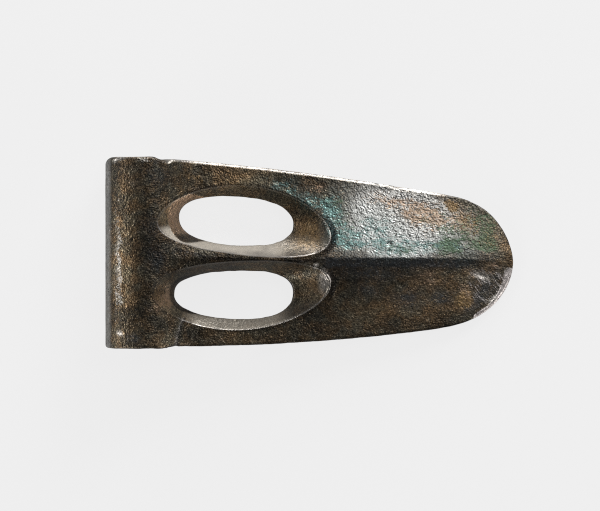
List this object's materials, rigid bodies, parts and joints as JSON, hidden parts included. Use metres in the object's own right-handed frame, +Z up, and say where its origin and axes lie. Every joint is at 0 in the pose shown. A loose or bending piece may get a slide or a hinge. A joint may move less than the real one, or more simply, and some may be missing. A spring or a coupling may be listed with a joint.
{
  "type": "bronze axe head",
  "caption": "Cast bronze axe head with a tubular haft socket, oval windows either side of a midrib and a long tapering blade with a rounded cutting edge, worn and patinated.",
  "frame": {"origin": "middle of the footprint, at the height of the surface the head lies on", "axes": "+X from the socket's back to the cutting edge, +Y across the blade to its upper edge, +Z up through the thickness of the head as it lies on its side"},
  "size_m": [0.1016, 0.0476, 0.018],
  "materials": {
    "bronze": "old cast bronze: half-matt olive-brown skin, fine corrosion grain, green, blue-grey and red-brown patches, brighter worn edges"
  },
  "bodies": {
    "root": {"axe_head": "bronze"}
  },
  "joints": []
}
